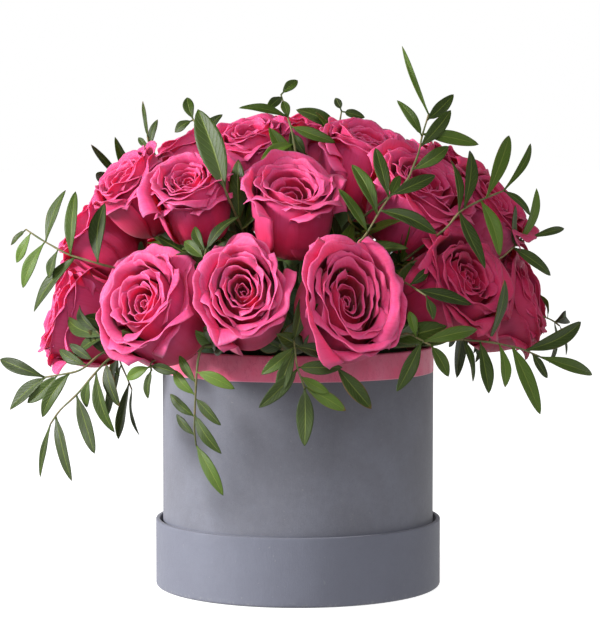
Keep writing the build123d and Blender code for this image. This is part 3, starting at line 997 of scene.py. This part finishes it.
def makeRoseStem(number, axis, foot, centre, radius, way, rng):
    # the stem, the hip under the bloom and the sepals
    green = Gather()
    hip = greenSettings["hip"] * radius
    stem = greenSettings["stem"]
    crown = centre - way * greenSettings["crown"] * radius
    start = focus + axis * foot
    straight = (centre - start) @ axis - greenSettings["bendFrom"] * radius
    knee = start + axis * max(straight, 4.0)
    pull = greenSettings["pull"] * np.linalg.norm(crown - knee)
    q = np.linspace(0, 1, 22)[:, None]
    bend = (
        (1 - q) ** 3 * knee + 3 * q * (1 - q) ** 2 * (knee + axis * pull)
        + 3 * q * q * (1 - q) * (crown - way * pull) + q ** 3 * crown
    )
    rod = start + (knee - start) * np.linspace(0, 1, 8)[:-1, None]
    path = np.concatenate([rod, bend])
    left = np.linalg.norm(path - crown, axis=1) / radius
    radii = stem * (1 + 0.05 * np.sin(np.arange(len(path)) * 2.1))
    radii = radii + (hip - stem) * (1 - smooth(left, 0.10, 0.50))
    radii[0] = stem * 0.9
    tube(green, path, radii, greenSettings["sides"])
    first, second = crossAxes(way)
    grid = greenSettings["sepalGrid"]
    u = np.linspace(-1, 1, grid[1])[None, :]
    v = np.linspace(0, 1, grid[0])[:, None]
    for k in range(greenSettings["sepals"]):
        angle = 2 * math.pi * (k + rng.uniform(-0.12, 0.12)) / greenSettings["sepals"]
        out = math.cos(angle) * first + math.sin(angle) * second
        side = np.cross(way, out)
        length = greenSettings["sepalLength"] * radius * rng.uniform(0.85, 1.1)
        wide = greenSettings["sepalWidth"] * radius * (1 - v ** 1.8) * (0.75 + 0.5 * v)
        curve = rng.uniform(0.9, 1.5)
        away = hip * 0.9 + length * (0.62 * np.sin(v * curve)) + 0.02 * radius * u ** 2
        rise = np.broadcast_to(length * (0.50 * v - 0.22 * v ** 2) - 0.05 * radius, grid)
        points = (
            crown + rise[..., None] * way + np.broadcast_to(away, grid)[..., None] * out
            + (u * wide)[..., None] * side
        )
        green.grid(points)
    name = f"rose_{number:02d}"
    green.piece(f"{name}_stem", "insert", "roseGreen", "rose_green", [name])


roseCount = sum(name.startswith("rose_") for name in nodes)
for roseNumber in range(1, roseCount + 1):
    makeRose(roseNumber)
note(f"{roseCount} roses")


# sprigs: each thin blade and bent stem of the frame becomes a real leaf and a twig

leafSettings = {
    "across": 9,
    "along": 17,
    "thickness": 0.34,
    "stalk": 2.4,
    "tuck": 1.1,  # how far a leaf starts inside its twig
    "fold": (0.10, 0.42),
    "bow": (-0.02, 0.09),
    "curl": (0.00, 0.12),
    "twist": 22,
    "narrow": 0.72,  # a blade's width against its plain shape in the frame
    "wave": 0.35,
}
innerLeaves = {
    "each": 8,  # leaves for each stem
    "from": 78,  # nearest and farthest from where the stems meet
    "to": 132,
    "length": (28, 46),
    "width": (10, 15),
    "spread": 0.8,
    "up": 0.45,  # the least a leaf rises when it starts level with the rim
    "level": 120,  # height that takes one off that
}
leafWidths = {9: 0.60, (1, 2): 1.02, (3, 1): 0.55, (11, 0): 0.62, (21, 4): 0.5}  # by sprig, or by blade
twigSettings = {
    "foot": 1.15,
    "end": 0.55,
    "sides": 10,
    "blade": 1.6,  # anything in the frame thinner than this is a leaf
    "footReach": 2.35,  # points this near the foot belong to a stem's first ring
}


def islands(name):
    # the separate solids of a node, as arrays of points with the edges between them
    mesh = nodes[name].data
    points = nodePoints(name)
    keys, place = np.unique(np.round(points, 3), axis=0, return_inverse=True)
    place = place.ravel()
    edges = np.empty(len(mesh.edges) * 2, dtype=np.int64)
    mesh.edges.foreach_get("vertices", edges)
    edges = place[edges].reshape(-1, 2)
    parent = list(range(len(keys)))

    def root(k):
        while parent[k] != k:
            parent[k] = parent[parent[k]]
            k = parent[k]
        return k

    for a, b in edges.tolist():
        ra, rb = root(a), root(b)
        if ra != rb:
            parent[ra] = rb
    groups = {}
    for k in range(len(keys)):
        groups.setdefault(root(k), []).append(k)
    found = []
    for members in groups.values():
        index = {old: new for new, old in enumerate(members)}
        inside = [(index[a], index[b]) for a, b in edges.tolist() if a in index and a != b]
        found.append((keys[members], inside))
    return found


def mainAxes(points):
    middle = points.mean(axis=0)
    _, _, axes = np.linalg.svd(points - middle, full_matrices=False)
    extents = [np.ptp((points - middle) @ axis) for axis in axes]
    return axes, extents


def stemLine(points, edges):
    # the middle line of a bent stem, from its foot in the foam to its end
    near = points[np.linalg.norm(points - focus, axis=1).argmin()]
    level = np.full(len(points), -1)
    start = np.linalg.norm(points - near, axis=1) < twigSettings["footReach"]
    level[start] = 0
    touching = {}
    for a, b in edges:
        touching.setdefault(a, []).append(b)
        touching.setdefault(b, []).append(a)
    queue = list(np.flatnonzero(start))
    for here in queue:
        for other in touching.get(here, []):
            if level[other] < 0:
                level[other] = level[here] + 1
                queue.append(other)
    line = [points[level == k].mean(axis=0) for k in range(level.max() + 1)]
    kept = [line[0]]
    for point in line[1:]:
        if np.linalg.norm(point - kept[-1]) > 1.0:
            kept.append(point)
    return np.array(kept)


def even(line, step):
    # points at even steps along a line
    runs = np.linalg.norm(np.diff(line, axis=0), axis=1)
    far = np.concatenate([[0], np.cumsum(runs)])
    count = max(4, int(far[-1] / step))
    at = np.linspace(0, far[-1], count)
    return np.stack([np.interp(at, far, line[:, k]) for k in range(3)], -1)


def addTwig(gather, line, rng):
    path = even(line, 2.5)
    for _ in range(2):
        path[1:-1] = (path[:-2] + 2 * path[1:-1] + path[2:]) / 4
    count = len(path)
    share = np.linspace(0, 1, count)
    radius = twigSettings["foot"] + (twigSettings["end"] - twigSettings["foot"]) * share
    radius = radius * (1 + 0.10 * np.sin(share * count * 0.9 + rng.uniform(0, 6)))
    tube(gather, path, radius, twigSettings["sides"])


def bladePlace(points, stems):
    # where one flat blade of the frame starts, the ways it points and faces, its length and width
    axes, extents = mainAxes(points)
    closest = [np.linalg.norm(stems - point, axis=1).min() for point in points]
    base = points[int(np.argmin(closest))]
    ends = points @ axes[0]
    tip = points[ends.argmax()] if base @ axes[0] < ends.mean() else points[ends.argmin()]
    base = points[ends.argmin()] if base @ axes[0] < ends.mean() else points[ends.argmax()]
    length = np.linalg.norm(tip - base)
    way = (tip - base) / length
    face = axes[2] if axes[2] @ (base - focus) > 0 else -axes[2]
    face = unit(face - way * (face @ way))
    tuck = leafSettings["tuck"]
    return base - way * tuck, way, face, length + tuck, extents[1]


def addLeaf(gather, start, way, face, total, width, rng):
    # a curved blade with a folded midrib
    side = np.cross(face, way)
    u = np.linspace(-1, 1, leafSettings["across"])[None, :]
    v = np.linspace(0, 1, leafSettings["along"])[:, None] ** 0.92
    stalk = leafSettings["stalk"] / total
    body = np.clip((v - stalk) / (1 - stalk), 0, 1)
    shape = np.sin(math.pi * body ** rng.uniform(0.82, 1.10)) ** 0.72
    half = width / 2 * shape + 0.45 * (1 - smooth(v, stalk, 2.5 * stalk)) + 0.05
    fold = rng.uniform(*leafSettings["fold"])
    bow = rng.uniform(*leafSettings["bow"]) * total
    curl = rng.uniform(*leafSettings["curl"]) * total
    twist = math.radians(rng.uniform(-1, 1) * leafSettings["twist"])
    phase = rng.uniform(0, 6.28, 2)
    lift = bow * np.sin(math.pi * v) - curl * v ** 3
    raised = fold * np.abs(u) * half
    ripple = np.sin(v * 9 + phase[0] + 1.4 * np.sign(u))
    raised = raised + leafSettings["wave"] * np.abs(u) ** 1.5 * shape * ripple
    sway = rng.uniform(-0.05, 0.05) * total * np.sin(math.pi * v)
    bank = twist * v
    x = start + (v * total)[..., None] * way
    flat = u * half
    points = (
        x + (flat * np.cos(bank) - raised * np.sin(bank) + sway)[..., None] * side
        + (lift + raised * np.cos(bank) + flat * np.sin(bank))[..., None] * face
    )
    uv = np.stack(np.broadcast_arrays(u / 2 + 0.5, v), -1)
    tint = np.array([rng.uniform(0, 1), np.clip(rng.normal(0.45, 0.28), 0, 1)])
    gather.grid(points, leaf=uv, tint=np.broadcast_to(tint, uv.shape))


def addInnerLeaves(gather, line, rng):
    # small leaves low on the twig, deep between the blooms
    away = np.linalg.norm(line - focus, axis=1)
    deep = line[(away > innerLeaves["from"]) & (away < innerLeaves["to"])]
    for _ in range(innerLeaves["each"] if len(deep) else 0):
        start = deep[int(rng.integers(len(deep)))]
        out = unit(start - focus)
        first, second = crossAxes(out)
        angle = rng.uniform(0, 2 * math.pi)
        lean = innerLeaves["spread"] * rng.uniform(0.5, 1.3)
        way = out + lean * (math.cos(angle) * first + math.sin(angle) * second)
        lowest = innerLeaves["up"] - (start[2] - focus[2]) / innerLeaves["level"]
        way = unit([way[0], way[1], max(way[2], lowest)])
        face = unit(np.cross(way, np.cross(out, way) + 1e-6) * -1)
        face = face if face @ out > 0 else -face
        total = rng.uniform(*innerLeaves["length"])
        addLeaf(gather, start, way, face, total, rng.uniform(*innerLeaves["width"]), rng)


def makeSprig(number):
    name = f"sprig_{number:02d}"
    rng = np.random.default_rng(40 + number)
    blades, stems = [], []
    for points, edges in sorted(islands(name), key=lambda found: tuple(found[0].mean(axis=0))):
        thin = mainAxes(points)[1][2]
        (blades if thin < twigSettings["blade"] else stems).append((points, edges))
    twigs, leaves = Gather(), Gather()
    lines = []
    for points, edges in stems:
        line = stemLine(points, edges)
        lines.append(even(line, 1.0))
        addTwig(twigs, line, rng)
    every = np.concatenate(lines)
    for k, (points, edges) in enumerate(blades):
        start, way, face, total, width = bladePlace(points, every)
        narrow = leafWidths.get((number, k), leafWidths.get(number, leafSettings["narrow"]))
        addLeaf(leaves, start, way, face, total, width * narrow, rng)
    for line in lines:
        addInnerLeaves(leaves, line, rng)
    twigs.piece(f"{name}_twig", "insert", "twig", "foliage_stem", [name])
    leaves.piece(f"{name}_leaves", "insert", "leaf", "foliage", [name], leafSettings["thickness"])
    return len(stems), len(blades)


sprigCount = sum(name.startswith("sprig_") for name in nodes)
sprigTotals = np.sum([makeSprig(number) for number in range(1, sprigCount + 1)], axis=0)
note(f"{sprigTotals[0]} twigs and {sprigTotals[1]} leaves")

bpy.context.scene.view_settings.view_transform = "Standard"
